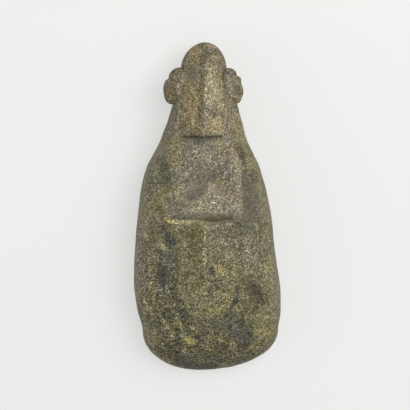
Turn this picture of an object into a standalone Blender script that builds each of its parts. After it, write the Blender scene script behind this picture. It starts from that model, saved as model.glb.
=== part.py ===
"""A carved stone adze head, lying on its back.

The stone is one solid. Its length runs along Y, with the carved head at +Y and the
blunt bit at -Y, and its carved front faces +Z. The origin is on the resting plane,
under the middle of the bounding box. All sizes below are in millimetres, and a place
along the stone is a share of its length, counted from the top of the head.
"""

import math

import bmesh
import bpy
import numpy as np
from mathutils import Matrix, Vector

MM = 0.001

# The whole stone
LENGTH = 240.0
WIDTH = 102.8
THICKNESS = 48.6
BACK_CROWN = 0.9

# How round the two ends are, seen from the front and from the side
HEAD_ROUNDING = 17.0
BIT_ROUNDING = 32.5
BIT_CURVE = 3.0
BIT_FULLNESS = 0.62

# Sections along the stone: (place, share of WIDTH or THICKNESS)
HALF_WIDTHS = (
    (0.00, 0.141),
    (0.07, 0.152),
    (0.125, 0.188),
    (0.19, 0.225),
    (0.25, 0.266),
    (0.30, 0.306),
    (0.33, 0.342),
    (0.36, 0.378),
    (0.46, 0.436),
    (0.64, 0.485),
    (0.73, 0.502),
    (0.80, 0.492),
    (0.86, 0.470),
    (0.93, 0.470),
    (1.00, 0.450),
)
FRONT_HEIGHTS = (
    (0.00, 0.66),
    (0.08, 0.72),
    (0.16, 0.79),
    (0.25, 0.85),
    (0.34, 0.93),
    (0.42, 0.98),
    (0.50, 1.00),
    (0.62, 0.985),
    (0.74, 0.92),
    (0.84, 0.815),
    (0.92, 0.66),
    (1.00, 0.40),
)
SIDE_HEIGHTS = ((0.0, 0.40), (0.20, 0.385), (0.45, 0.375), (0.75, 0.33), (0.92, 0.19), (1.0, 0.115))
BACK_HEIGHTS = ((0.0, 0.10), (0.08, 0.07), (0.20, 0.01), (0.50, 0.0), (0.80, 0.0), (0.93, 0.02), (1.0, 0.045))

# The middle line wanders a little to either side: (place, share of SWAY towards +X)
SWAY = 4.0
MIDDLE_LINE = (
    (0.00, -0.40),
    (0.06, -0.60),
    (0.12, -0.60),
    (0.19, -0.34),
    (0.30, -0.62),
    (0.40, -0.68),
    (0.50, -0.48),
    (0.60, -0.40),
    (0.70, -0.16),
    (0.80, 0.36),
    (0.86, 0.56),
    (0.92, 0.30),
    (0.96, -0.12),
    (1.00, -1.00),
)

# How square the sections are: 2 is an ellipse, and more is squarer
FRONT_SQUARENESS = ((0.0, 2.1), (0.2, 2.5), (0.45, 2.8), (0.8, 2.6), (1.0, 2.2))
BACK_SQUARENESS = ((0.0, 2.1), (0.3, 2.7), (0.7, 3.0), (1.0, 2.4))
RELIEF_FADE = 0.55

# The nose: a sharp ridge that ends in a ledge. The widths run along it as shares
NOSE_START = 0.035
NOSE_END = 0.250
NOSE_RISE = 6.3
NOSE_GROWTH = 0.85
NOSE_ARCH = 1.3
LEDGE_SLOPE = 0.7
NOSE_SKEW = 1.6
NOSE_RIDGE = ((0.04, 0.75), (0.25, -1.0))
NOSE_LEFT_WIDTH = 15.4
NOSE_LEFT = ((0.04, 0.51), (0.12, 0.79), (0.20, 0.79), (0.25, 1.0))
NOSE_RIGHT_WIDTH = 15.0
NOSE_RIGHT = ((0.04, 0.47), (0.105, 0.58), (0.15, 0.93), (0.20, 1.0), (0.25, 0.87))
STEEP_SIDE = 3.2
STEEP_SHARE = 0.44
WING_START = 0.80
WING_SHARE = 0.66
RIGHT_FULLNESS = 1.4

# The hollows: beside the nose's root, and outside its left wing
SOCKET_PLACE = 0.078
SOCKET_LENGTH = 12.0
SOCKET_WIDTH = 6.5
SOCKET_DEPTH_LEFT = 2.2
SOCKET_DEPTH_RIGHT = 1.0
SOCKET_OUT_LEFT = 8.6
SOCKET_OUT_RIGHT = 11.5
WING_HOLLOW_PLACE = 0.228
WING_HOLLOW_OUT = 16.2
WING_HOLLOW_LENGTH = 8.0
WING_HOLLOW_WIDTH = 3.6
WING_HOLLOW_DEPTH = 0.9

# The flat front panel and the tongue below it: (place, share of the width on that side)
PANEL_LEFT_WIDTH = 27.6
PANEL_LEFT = (
    (0.10, 0.54),
    (0.183, 0.80),
    (0.272, 0.82),
    (0.387, 0.84),
    (0.468, 0.97),
    (0.489, 1.00),
    (0.505, 0.85),
    (0.530, 0.70),
    (0.610, 0.62),
    (0.700, 0.62),
)
PANEL_RIGHT_WIDTH = 26.9
PANEL_RIGHT = (
    (0.10, 0.56),
    (0.183, 0.64),
    (0.290, 0.76),
    (0.336, 0.92),
    (0.394, 0.98),
    (0.463, 1.00),
    (0.486, 0.95),
    (0.505, 0.80),
    (0.535, 0.71),
    (0.590, 0.71),
    (0.660, 0.84),
    (0.700, 0.84),
)
PANEL_HEIGHT = 1.8
PANEL_RISE = ((0.10, 0.0), (0.20, 0.39), (0.33, 0.89), (0.50, 1.0), (0.60, 0.67), (0.79, 0.56))
PANEL_EDGE = 2.8
TONGUE_END = 0.790
TONGUE_ROUNDING = 30.0

# The long hollows outside the panel: how far out they run, and how deep they are
HOLLOW_OUT = 33.0
HOLLOW_LEFT = (
    (0.20, 0.80),
    (0.365, 0.87),
    (0.47, 0.955),
    (0.53, 0.82),
    (0.57, 0.80),
    (0.63, 0.92),
    (0.72, 1.0),
)
HOLLOW_RIGHT = ((0.20, 0.80), (0.36, 0.955), (0.47, 0.985), (0.53, 0.91), (0.62, 1.0))
HOLLOW_DEPTH = 1.9
HOLLOW_LEFT_DEPTH = (
    (0.20, 0.0),
    (0.30, 0.37),
    (0.365, 0.79),
    (0.46, 0.42),
    (0.53, 1.0),
    (0.58, 0.79),
    (0.63, 0.47),
    (0.68, 0.68),
    (0.76, 0.0),
)
HOLLOW_RIGHT_DEPTH = ((0.20, 0.0), (0.30, 0.42), (0.36, 0.79), (0.47, 0.79), (0.54, 0.63), (0.61, 0.0))
HOLLOW_WIDTH = 6.5

# The mouth: a groove right across the panel
MOUTH_PLACE = 0.499
MOUTH_DEPTH_LEFT = 1.5
MOUTH_DEPTH_RIGHT = 2.9
MOUTH_CHANGE = 9.0
MOUTH_SLOPE = 6.0
MOUTH_LIP = 0.9
MOUTH_SMILE_LEFT = 1.6
MOUTH_SMILE_RIGHT = 3.0
MOUTH_LEFT = 26.0
MOUTH_RIGHT = 23.5
MOUTH_FADE = 9.0

# The low ridge down the middle of the tongue
TONGUE_RIDGE_RISE = 2.0
TONGUE_RIDGE_LEFT = 12.0
TONGUE_RIDGE_RIGHT = 17.0
TONGUE_RIDGE_END = 0.76

# The ears: leaning ovals with notched rims, sunk into the sides of the head
EAR_PLACE = 0.120
EAR_HEIGHT = 26.4
EAR_WIDTH = 14.4
EAR_OUT = 0.5
EAR_THICKNESS = 12.5
EAR_LEVEL = 0.555
EAR_SPLAY = 17.0
EAR_LEAN = 20.0
EAR_NOTCH_DEPTH = 1.3
EAR_NOTCH_SPREAD = 14.0
EAR_HOLLOW_DEPTH = 1.3
EAR_HOLLOW_WIDTH = 5.5
EAR_HOLLOW_HEIGHT = 9.5

# The notches of each ear's rim: (degrees round the ear, share of EAR_NOTCH_DEPTH)
LEFT_EAR_NOTCHES = ((18.0, 0.92),)
RIGHT_EAR_NOTCHES = ((29.0, 1.0), (-1.0, 0.54))

# The surface: how finely the shapes are made, and what is kept
SECTIONS = 300
FRONT_COLUMNS = 150
BACK_COLUMNS = 60
SECTION_STEPS = 361
OUTLINE_STEPS = 4001
CLOSER = 1.5
CLOSER_REACH = 9.0
EAR_RINGS = 32
EAR_COLUMNS = 40
VOXEL = 0.9
TRIANGLES = 8800

STONE_COLOUR = (0.174, 0.156, 0.102, 1.0)
STONE_ROUGHNESS = 0.8


def curve(stations, size=1.0):
    """A smooth function through the stations, which never overshoots them."""
    places, values = np.array(stations, dtype=float).T
    values = values * size
    steps = np.diff(places)
    slopes = np.diff(values) / steps
    tangents = np.zeros(len(places))
    tangents[0], tangents[-1] = slopes[0], slopes[-1]
    for i in range(1, len(places) - 1):
        if slopes[i - 1] * slopes[i] > 0:
            before = 2 * steps[i] + steps[i - 1]
            after = steps[i] + 2 * steps[i - 1]
            tangents[i] = (before + after) / (before / slopes[i - 1] + after / slopes[i])

    def value(place):
        place = np.clip(place, places[0], places[-1])
        i = np.clip(np.searchsorted(places, place, side="right") - 1, 0, len(steps) - 1)
        t = (place - places[i]) / steps[i]
        start = values[i] * (1 + 2 * t) * (1 - t) ** 2
        start += tangents[i] * steps[i] * t * (1 - t) ** 2
        end = values[i + 1] * t**2 * (3 - 2 * t)
        end += tangents[i + 1] * steps[i] * t**2 * (t - 1)
        return start + end

    return value


def smooth_step(amount):
    """0 at and below 0, 1 at and above 1, and smooth between."""
    amount = np.clip(amount, 0.0, 1.0)
    return amount * amount * (3 - 2 * amount)


def bell(distance, width):
    """1 at distance 0, falling to 0 at width on either side."""
    inside = np.clip(1 - (distance / width) ** 2, 0.0, 1.0)
    return inside * inside


full_half_width = curve(HALF_WIDTHS, WIDTH)
front_height = curve(FRONT_HEIGHTS, THICKNESS)
side_height = curve(SIDE_HEIGHTS, THICKNESS)
back_height = curve(BACK_HEIGHTS, THICKNESS)
middle_line = curve(MIDDLE_LINE, SWAY)
front_squareness = curve(FRONT_SQUARENESS)
back_squareness = curve(BACK_SQUARENESS)
nose_ridge = curve(NOSE_RIDGE, NOSE_SKEW)
nose_left = curve(NOSE_LEFT, NOSE_LEFT_WIDTH)
nose_right = curve(NOSE_RIGHT, NOSE_RIGHT_WIDTH)
panel_left = curve(PANEL_LEFT, PANEL_LEFT_WIDTH)
panel_right = curve(PANEL_RIGHT, PANEL_RIGHT_WIDTH)
panel_rise = curve(PANEL_RISE, PANEL_HEIGHT)
hollow_left = curve(HOLLOW_LEFT, HOLLOW_OUT)
hollow_right = curve(HOLLOW_RIGHT, HOLLOW_OUT)
hollow_left_depth = curve(HOLLOW_LEFT_DEPTH, HOLLOW_DEPTH)
hollow_right_depth = curve(HOLLOW_RIGHT_DEPTH, HOLLOW_DEPTH)


def end_rounding(place):
    """How much of its full section the stone has here: 0 at both ends, 1 between."""
    from_head = np.clip(place * LENGTH / HEAD_ROUNDING, 0.0, 1.0)
    from_bit = np.clip((1 - place) * LENGTH / BIT_ROUNDING, 0.0, 1.0)
    return np.sqrt(from_head * (2 - from_head) * from_bit * (2 - from_bit))


def thickness_rounding(place):
    """The same for the thickness, whose rounding at the bit is tighter."""
    from_head = np.clip(place * LENGTH / HEAD_ROUNDING, 0.0, 1.0)
    from_bit = np.clip((1 - place) * LENGTH / BIT_ROUNDING, 0.0, 1.0)
    bit = (1 - (1 - from_bit) ** BIT_CURVE) ** BIT_FULLNESS
    return np.sqrt(from_head * (2 - from_head)) * bit


def half_width(place):
    return full_half_width(place) * end_rounding(place)


def box_middle():
    """Where the middle of the stone's box lies, from the middle line."""
    places = np.linspace(0.0, 1.0, OUTLINE_STEPS)
    left = (middle_line(places) - half_width(places)).min()
    right = (middle_line(places) + half_width(places)).max()
    return (left + right) / 2


BOX_MIDDLE = box_middle()


def middle_x(place):
    return middle_line(place) - BOX_MIDDLE


def nose_relief(place, x):
    """The nose above the face: a ridge, steep on its left, cut off by a ledge."""
    across = x - nose_ridge(place)
    left = np.clip(-across / nose_left(place), 0.0, 1.0)
    right = np.clip(across / nose_right(place), 0.0, 1.0)
    steep = STEEP_SIDE / nose_left(place)
    left_fall = STEEP_SHARE * np.clip(left / steep, 0.0, 1.0)
    left_fall += (WING_SHARE - STEEP_SHARE) * np.clip((left - steep) / (WING_START - steep), 0.0, 1.0)
    left_fall += (1 - WING_SHARE) * smooth_step((left - WING_START) / (1 - WING_START))
    fall = np.where(across < 0, left_fall, right**RIGHT_FULLNESS)
    grown = np.clip((place - NOSE_START) / (NOSE_END - NOSE_START), 0.0, 1.0) ** NOSE_GROWTH
    arch = NOSE_ARCH * (across / NOSE_RIGHT_WIDTH) ** 2
    past_ledge = (place - NOSE_END) * LENGTH - arch
    return NOSE_RISE * grown * (1 - fall) * (1 - smooth_step(past_ledge / LEDGE_SLOPE + 0.5))


def hollow_relief(place, x):
    """The eye hollows, and a small hollow outside the nose's left wing."""
    at_eyes = bell((place - SOCKET_PLACE) * LENGTH, SOCKET_LENGTH)
    middle = nose_ridge(SOCKET_PLACE)
    left = SOCKET_DEPTH_LEFT * bell(x - middle + SOCKET_OUT_LEFT, SOCKET_WIDTH)
    right = SOCKET_DEPTH_RIGHT * bell(x - middle - SOCKET_OUT_RIGHT, SOCKET_WIDTH)
    by_wing = bell((place - WING_HOLLOW_PLACE) * LENGTH, WING_HOLLOW_LENGTH)
    by_wing *= bell(x + WING_HOLLOW_OUT, WING_HOLLOW_WIDTH)
    return -at_eyes * (left + right) - WING_HOLLOW_DEPTH * by_wing


def panel_relief(place, x):
    """The panel and tongue stand proud, and a long hollow runs along each side."""
    before_end = np.clip((TONGUE_END - place) * LENGTH / TONGUE_ROUNDING, 0.0, 1.0)
    half_span = (panel_left(place) + panel_right(place)) / 2 * np.sqrt(before_end * (2 - before_end))
    middle = (panel_right(place) - panel_left(place)) / 2
    from_left = x - middle + half_span
    from_right = middle + half_span - x
    inside = smooth_step(from_left / PANEL_EDGE + 0.5) * smooth_step(from_right / PANEL_EDGE + 0.5)
    inside *= 1 - smooth_step((place - TONGUE_END) * LENGTH / PANEL_EDGE + 0.5)
    hollow = hollow_left_depth(place) * bell(x + hollow_left(place), HOLLOW_WIDTH)
    hollow += hollow_right_depth(place) * bell(x - hollow_right(place), HOLLOW_WIDTH)
    return panel_rise(place) * inside - hollow * (1 - inside)


def mouth_relief(place, x):
    """A groove: a long slope down from the panel, and a sharp lip on the far side."""
    smile = np.where(x < 0, MOUTH_SMILE_LEFT, MOUTH_SMILE_RIGHT) * (x / MOUTH_LEFT) ** 2
    past = (place - MOUTH_PLACE) * LENGTH + smile
    down = smooth_step(1 + past / MOUTH_SLOPE) ** 2
    up = 1 - smooth_step(past / MOUTH_LIP)
    ends = smooth_step((x + MOUTH_LEFT) / MOUTH_FADE) * smooth_step((MOUTH_RIGHT - x) / MOUTH_FADE)
    deeper = smooth_step(x / MOUTH_CHANGE + 0.5)
    depth = MOUTH_DEPTH_LEFT + (MOUTH_DEPTH_RIGHT - MOUTH_DEPTH_LEFT) * deeper
    return -depth * ends * down * up


def tongue_relief(place, x):
    """A low ridge, whose top is an edge, down the middle of the tongue."""
    reach = np.where(x < 0, TONGUE_RIDGE_LEFT, TONGUE_RIDGE_RIGHT)
    across = np.clip(1 - np.abs(x) / reach, 0.0, 1.0)
    fade = 1 - smooth_step((place - MOUTH_PLACE) / (TONGUE_RIDGE_END - MOUTH_PLACE))
    started = smooth_step((place - MOUTH_PLACE) * LENGTH / MOUTH_LIP)
    return TONGUE_RIDGE_RISE * across * fade * started


def half_section(place, across, is_front):
    """The points of the front or the back of one section, from edge to edge."""
    side = side_height(place)
    if is_front:
        square, reach = front_squareness(place), front_height(place) - side
    else:
        square, reach = back_squareness(place), back_height(place) - BACK_CROWN - side
    bulge = np.clip(1 - np.abs(across) ** square, 0.0, 1.0) ** (1 / square)
    rounding = thickness_rounding(place)
    x = half_width(place) * across
    z = side + reach * bulge * rounding
    if is_front:
        relief = nose_relief(place, x) + hollow_relief(place, x) + panel_relief(place, x)
        relief += mouth_relief(place, x) + tongue_relief(place, x)
        z = z + relief * smooth_step(bulge / RELIEF_FADE) * rounding
    y = np.full(len(x), (0.5 - place) * LENGTH)
    return np.stack([x + middle_x(place), y, z], axis=1)


def evenly(line, count):
    """The line cut into `count` equal steps, without its last point."""
    travelled = np.concatenate([[0.0], np.cumsum(np.linalg.norm(np.diff(line, axis=0), axis=1))])
    wanted = np.linspace(0.0, travelled[-1], count, endpoint=False)
    return np.stack([np.interp(wanted, travelled, column) for column in line.T], axis=1)


def section_places():
    """Where the sections are cut: evenly along the outline, and closer at the carving."""
    places = np.linspace(0.0, 1.0, OUTLINE_STEPS)
    steps = np.hypot(np.diff(places) * LENGTH, np.diff(half_width(places)))
    closer = 1 + CLOSER * bell((places[1:] - NOSE_END) * LENGTH, CLOSER_REACH)
    closer += CLOSER * bell((places[1:] - MOUTH_PLACE) * LENGTH, CLOSER_REACH)
    travelled = np.concatenate([[0.0], np.cumsum(steps * closer)])
    return np.interp(np.linspace(0.0, travelled[-1], SECTIONS + 1), travelled, places)


def body_mesh():
    """The stone without its ears: rings of points, closed at both ends."""
    over = np.cos(np.linspace(0.0, math.pi, SECTION_STEPS))
    rings = []
    for place in section_places()[1:-1]:
        front = evenly(half_section(place, over, True), FRONT_COLUMNS)
        back = evenly(half_section(place, -over, False), BACK_COLUMNS)
        rings += [front, back]
    ends = [half_section(place, np.zeros(1), True) for place in (0.0, 1.0)]
    points = np.concatenate(rings + ends)
    head, bit = len(points) - 2, len(points) - 1
    columns = FRONT_COLUMNS + BACK_COLUMNS
    last = head - columns
    faces = []
    for i in range(columns):
        j = (i + 1) % columns
        faces += [(head, j, i), (bit, last + i, last + j)]
        faces += [(k + i, k + j, k + columns + j, k + columns + i) for k in range(0, last, columns)]
    mesh = bpy.data.meshes.new("body")
    mesh.from_pydata(points * MM, [], faces)
    return mesh


def ear_points(sphere, side):
    """Pulls a unit sphere to an ear: an oval with a notched rim and a hollow in front."""
    out, along, above = sphere[:, 0] * side, sphere[:, 1], sphere[:, 2]
    turn = np.degrees(np.arctan2(along, out))
    notches = RIGHT_EAR_NOTCHES if side > 0 else LEFT_EAR_NOTCHES
    notch = sum(share * bell(turn - middle, EAR_NOTCH_SPREAD) for middle, share in notches)
    cut = EAR_NOTCH_DEPTH * notch * np.hypot(out, along)
    wide = out * (EAR_WIDTH / 2 - cut)
    tall = along * (EAR_HEIGHT / 2 - cut)
    hollow = bell(np.hypot(wide / EAR_HOLLOW_WIDTH, tall / EAR_HOLLOW_HEIGHT), 1.0)
    thick = above * (EAR_THICKNESS / 2 - cut)
    thick -= np.where(above > 0, EAR_HOLLOW_DEPTH * hollow, 0.0)
    splay, lean = math.radians(EAR_SPLAY), math.radians(EAR_LEAN)
    outward = wide * math.cos(splay) - tall * math.sin(splay)
    headward = tall * math.cos(splay) + wide * math.sin(splay)
    across = outward * math.cos(lean) + thick * math.sin(lean)
    up = thick * math.cos(lean) - outward * math.sin(lean)
    x = side * (half_width(EAR_PLACE) + EAR_OUT + across) + middle_x(EAR_PLACE)
    y = (0.5 - EAR_PLACE) * LENGTH + headward
    return np.stack([x, y, THICKNESS * EAR_LEVEL + up], axis=1)


def ear_mesh(side):
    shape = bmesh.new()
    bmesh.ops.create_uvsphere(shape, u_segments=EAR_COLUMNS, v_segments=EAR_RINGS, radius=1.0)
    sphere = np.array([vertex.co for vertex in shape.verts])
    for vertex, point in zip(shape.verts, ear_points(sphere, side)):
        vertex.co = point * MM
    mesh = bpy.data.meshes.new("ear")
    shape.to_mesh(mesh)
    shape.free()
    return mesh


def new_object(name, mesh, collection):
    thing = bpy.data.objects.new(name, mesh)
    collection.objects.link(thing)
    return thing


def new_collection(name):
    collection = bpy.data.collections.new(name)
    bpy.context.scene.collection.children.link(collection)
    return collection


def as_helper(thing):
    thing.hide_render = True
    thing.display_type = "WIRE"
    return thing


def boolean(thing, other, operation):
    modifier = thing.modifiers.new(f"{operation} {other.name}".lower(), "BOOLEAN")
    modifier.operation = operation
    modifier.solver = "EXACT"
    modifier.object = other


def triangle_count(thing):
    graph = bpy.context.evaluated_depsgraph_get()
    evaluated = thing.evaluated_get(graph)
    mesh = evaluated.to_mesh()
    mesh.calc_loop_triangles()
    count = len(mesh.loop_triangles)
    evaluated.to_mesh_clear()
    return count


def ground_box(collection):
    """A box whose top is the resting plane. It cuts the flat spot."""
    depth = 10 * BACK_CROWN
    shape = bmesh.new()
    bmesh.ops.create_cube(
        shape,
        size=1.0,
        matrix=Matrix.Translation(Vector((0, 0, -depth / 2 * MM)))
        @ Matrix.Diagonal((2 * WIDTH * MM, 2 * LENGTH * MM, depth * MM, 1.0)),
    )
    mesh = bpy.data.meshes.new("ground")
    shape.to_mesh(mesh)
    shape.free()
    return as_helper(new_object("ground", mesh, collection))


def stone_material():
    material = bpy.data.materials.new("stone")
    material.use_nodes = True
    shader = material.node_tree.nodes["Principled BSDF"]
    shader.inputs["Base Color"].default_value = STONE_COLOUR
    shader.inputs["Roughness"].default_value = STONE_ROUGHNESS
    shader.inputs["Metallic"].default_value = 0.0
    return material


def make_adze_head():
    parts = new_collection("stone_adze_head")
    helpers = new_collection("helpers")
    mesh = body_mesh()
    mesh.materials.append(stone_material())
    stone = new_object("adze_head", mesh, parts)
    for name, side in (("left_ear", -1), ("right_ear", 1)):
        boolean(stone, as_helper(new_object(name, ear_mesh(side), helpers)), "UNION")

    remesh = stone.modifiers.new("even surface", "REMESH")
    remesh.mode = "VOXEL"
    remesh.voxel_size = VOXEL * MM
    count = triangle_count(stone)
    decimate = stone.modifiers.new("fewer faces", "DECIMATE")
    decimate.ratio = TRIANGLES / count
    boolean(stone, ground_box(helpers), "DIFFERENCE")


for old in list(bpy.data.objects):
    bpy.data.objects.remove(old, do_unlink=True)
make_adze_head()
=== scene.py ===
"""The looks of a carved stone adze head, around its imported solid.

The stone lies on its back: the carved head at +Y, the blunt bit at -Y and the carved
front up. The camera looks down on the front, a little from the head's side, as the
photograph looks at the stone when it stands. The shape repeats the solid's sections
and carving, in millimetres, and is then fitted to the solid's box.
"""

import math

import bmesh
import bpy
import numpy as np
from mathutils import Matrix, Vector


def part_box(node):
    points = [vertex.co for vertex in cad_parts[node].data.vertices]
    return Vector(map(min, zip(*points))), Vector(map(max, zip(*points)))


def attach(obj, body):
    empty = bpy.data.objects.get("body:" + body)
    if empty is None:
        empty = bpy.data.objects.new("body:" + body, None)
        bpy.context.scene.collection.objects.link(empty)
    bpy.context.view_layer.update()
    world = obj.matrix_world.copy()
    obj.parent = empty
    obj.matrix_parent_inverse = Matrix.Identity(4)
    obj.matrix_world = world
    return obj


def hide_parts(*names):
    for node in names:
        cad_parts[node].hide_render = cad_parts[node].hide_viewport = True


MM = 0.001

# The whole stone
LENGTH = 240.0
WIDTH = 102.8
THICKNESS = 48.6
BACK_CROWN = 0.9

# How round the two ends are, seen from the front and from the side
HEAD_ROUNDING = 17.0
BIT_ROUNDING = 32.5
BIT_CURVE = 3.0
BIT_FULLNESS = 0.62

# Sections along the stone: (place, share of WIDTH or THICKNESS)
HALF_WIDTHS = (
    (0.00, 0.141),
    (0.07, 0.152),
    (0.125, 0.188),
    (0.19, 0.225),
    (0.25, 0.266),
    (0.30, 0.306),
    (0.33, 0.342),
    (0.36, 0.378),
    (0.46, 0.436),
    (0.64, 0.485),
    (0.73, 0.502),
    (0.80, 0.492),
    (0.86, 0.470),
    (0.93, 0.470),
    (1.00, 0.450),
)
FRONT_HEIGHTS = (
    (0.00, 0.66),
    (0.08, 0.72),
    (0.16, 0.79),
    (0.25, 0.85),
    (0.34, 0.93),
    (0.42, 0.98),
    (0.50, 1.00),
    (0.62, 0.985),
    (0.74, 0.92),
    (0.84, 0.815),
    (0.92, 0.66),
    (1.00, 0.40),
)
SIDE_HEIGHTS = ((0.0, 0.40), (0.20, 0.385), (0.45, 0.375), (0.75, 0.33), (0.92, 0.19), (1.0, 0.115))
BACK_HEIGHTS = ((0.0, 0.10), (0.08, 0.07), (0.20, 0.01), (0.50, 0.0), (0.80, 0.0), (0.93, 0.02), (1.0, 0.045))

# The middle line wanders a little to either side: (place, share of SWAY towards +X)
SWAY = 4.0
MIDDLE_LINE = (
    (0.00, -0.40),
    (0.06, -0.60),
    (0.12, -0.60),
    (0.19, -0.34),
    (0.30, -0.62),
    (0.40, -0.68),
    (0.50, -0.48),
    (0.60, -0.40),
    (0.70, -0.16),
    (0.80, 0.36),
    (0.86, 0.56),
    (0.92, 0.30),
    (0.96, -0.12),
    (1.00, -1.00),
)

# How square the sections are: 2 is an ellipse, and more is squarer
FRONT_SQUARENESS = ((0.0, 2.1), (0.2, 2.5), (0.45, 2.8), (0.8, 2.6), (1.0, 2.2))
BACK_SQUARENESS = ((0.0, 2.1), (0.3, 2.7), (0.7, 3.0), (1.0, 2.4))
RELIEF_FADE = 0.55

# The nose: a sharp ridge that ends in a ledge. The widths run along it as shares
NOSE_START = 0.035
NOSE_END = 0.250
NOSE_RISE = 6.3
NOSE_GROWTH = 0.85
NOSE_ARCH = 1.3
LEDGE_SLOPE = 0.7
NOSE_SKEW = 1.6
NOSE_RIDGE = ((0.04, 0.75), (0.25, -1.0))
NOSE_LEFT_WIDTH = 15.4
NOSE_LEFT = ((0.04, 0.51), (0.12, 0.79), (0.20, 0.79), (0.25, 1.0))
NOSE_RIGHT_WIDTH = 15.0
NOSE_RIGHT = ((0.04, 0.47), (0.105, 0.58), (0.15, 0.93), (0.20, 1.0), (0.25, 0.87))
STEEP_SIDE = 3.2
STEEP_SHARE = 0.44
WING_START = 0.80
WING_SHARE = 0.66
RIGHT_FULLNESS = 1.4

# The hollows: beside the nose's root, and outside its left wing
SOCKET_PLACE = 0.078
SOCKET_LENGTH = 12.0
SOCKET_WIDTH = 6.5
SOCKET_DEPTH_LEFT = 2.2
SOCKET_DEPTH_RIGHT = 1.0
SOCKET_OUT_LEFT = 8.6
SOCKET_OUT_RIGHT = 11.5
WING_HOLLOW_PLACE = 0.228
WING_HOLLOW_OUT = 16.2
WING_HOLLOW_LENGTH = 8.0
WING_HOLLOW_WIDTH = 3.6
WING_HOLLOW_DEPTH = 0.9

# The flat front panel and the tongue below it: (place, share of the width on that side)
PANEL_LEFT_WIDTH = 27.6
PANEL_LEFT = (
    (0.10, 0.54),
    (0.183, 0.80),
    (0.272, 0.82),
    (0.387, 0.84),
    (0.468, 0.97),
    (0.489, 1.00),
    (0.505, 0.85),
    (0.530, 0.70),
    (0.610, 0.62),
    (0.700, 0.62),
)
PANEL_RIGHT_WIDTH = 26.9
PANEL_RIGHT = (
    (0.10, 0.56),
    (0.183, 0.64),
    (0.290, 0.76),
    (0.336, 0.92),
    (0.394, 0.98),
    (0.463, 1.00),
    (0.486, 0.95),
    (0.505, 0.80),
    (0.535, 0.71),
    (0.590, 0.71),
    (0.660, 0.84),
    (0.700, 0.84),
)
PANEL_HEIGHT = 1.8
PANEL_RISE = ((0.10, 0.0), (0.20, 0.39), (0.33, 0.89), (0.50, 1.0), (0.60, 0.67), (0.79, 0.56))
PANEL_EDGE = 2.8
TONGUE_END = 0.790
TONGUE_ROUNDING = 30.0

# The long hollows outside the panel: how far out they run, and how deep they are
HOLLOW_OUT = 33.0
HOLLOW_LEFT = (
    (0.20, 0.80),
    (0.365, 0.87),
    (0.47, 0.955),
    (0.53, 0.82),
    (0.57, 0.80),
    (0.63, 0.92),
    (0.72, 1.0),
)
HOLLOW_RIGHT = ((0.20, 0.80), (0.36, 0.955), (0.47, 0.985), (0.53, 0.91), (0.62, 1.0))
HOLLOW_DEPTH = 1.9
HOLLOW_LEFT_DEPTH = (
    (0.20, 0.0),
    (0.30, 0.37),
    (0.365, 0.79),
    (0.46, 0.42),
    (0.53, 1.0),
    (0.58, 0.79),
    (0.63, 0.47),
    (0.68, 0.68),
    (0.76, 0.0),
)
HOLLOW_RIGHT_DEPTH = ((0.20, 0.0), (0.30, 0.42), (0.36, 0.79), (0.47, 0.79), (0.54, 0.63), (0.61, 0.0))
HOLLOW_WIDTH = 6.5

# The mouth: a groove right across the panel
MOUTH_PLACE = 0.499
MOUTH_DEPTH_LEFT = 1.5
MOUTH_DEPTH_RIGHT = 2.9
MOUTH_CHANGE = 9.0
MOUTH_SLOPE = 6.0
MOUTH_LIP = 0.9
MOUTH_SMILE_LEFT = 1.6
MOUTH_SMILE_RIGHT = 3.0
MOUTH_LEFT = 26.0
MOUTH_RIGHT = 23.5
MOUTH_FADE = 9.0

# The low ridge down the middle of the tongue
TONGUE_RIDGE_RISE = 2.0
TONGUE_RIDGE_LEFT = 12.0
TONGUE_RIDGE_RIGHT = 17.0
TONGUE_RIDGE_END = 0.76

# The ears: leaning ovals with notched rims, sunk into the sides of the head
EAR_PLACE = 0.120
EAR_HEIGHT = 26.4
EAR_WIDTH = 14.4
EAR_OUT = 0.5
EAR_THICKNESS = 12.5
EAR_LEVEL = 0.555
EAR_SPLAY = 17.0
EAR_LEAN = 20.0
EAR_NOTCH_DEPTH = 1.3
EAR_NOTCH_SPREAD = 14.0
EAR_HOLLOW_DEPTH = 1.3
EAR_HOLLOW_WIDTH = 5.5
EAR_HOLLOW_HEIGHT = 9.5

# The notches of each ear's rim: (degrees round the ear, share of EAR_NOTCH_DEPTH)
LEFT_EAR_NOTCHES = ((18.0, 0.92),)
RIGHT_EAR_NOTCHES = ((29.0, 1.0), (-1.0, 0.54))

# The surface: how finely the shapes are made
SECTIONS = 340
FRONT_COLUMNS = 180
BACK_COLUMNS = 70
SECTION_STEPS = 721
OUTLINE_STEPS = 4001
CLOSER = 1.8
CLOSER_REACH = 9.0
EAR_RINGS = 64
EAR_COLUMNS = 80
LATTICE = 64

# The small unevenness of a pecked and ground surface: (size, height, seed), in millimetres.
# The ears' lumps start in a band of half widths, and reach this share of LENGTH either way
UNEVENNESS = ((26.0, 0.35, 0), (9.0, 0.20, 1), (4.0, 0.10, 2), (2.2, 0.06, 3))
EAR_LUMPS = ((3.6, 0.55, 10),)
EAR_LUMPS_BAND = (0.75, 0.2)
EAR_LUMPS_REACH = 0.075
PIT_SPACING = 5.5
PIT_RADIUS = 1.1
PIT_DEPTH = 0.35
PIT_SHARE = 0.3
PIT_SEED = 20

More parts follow.
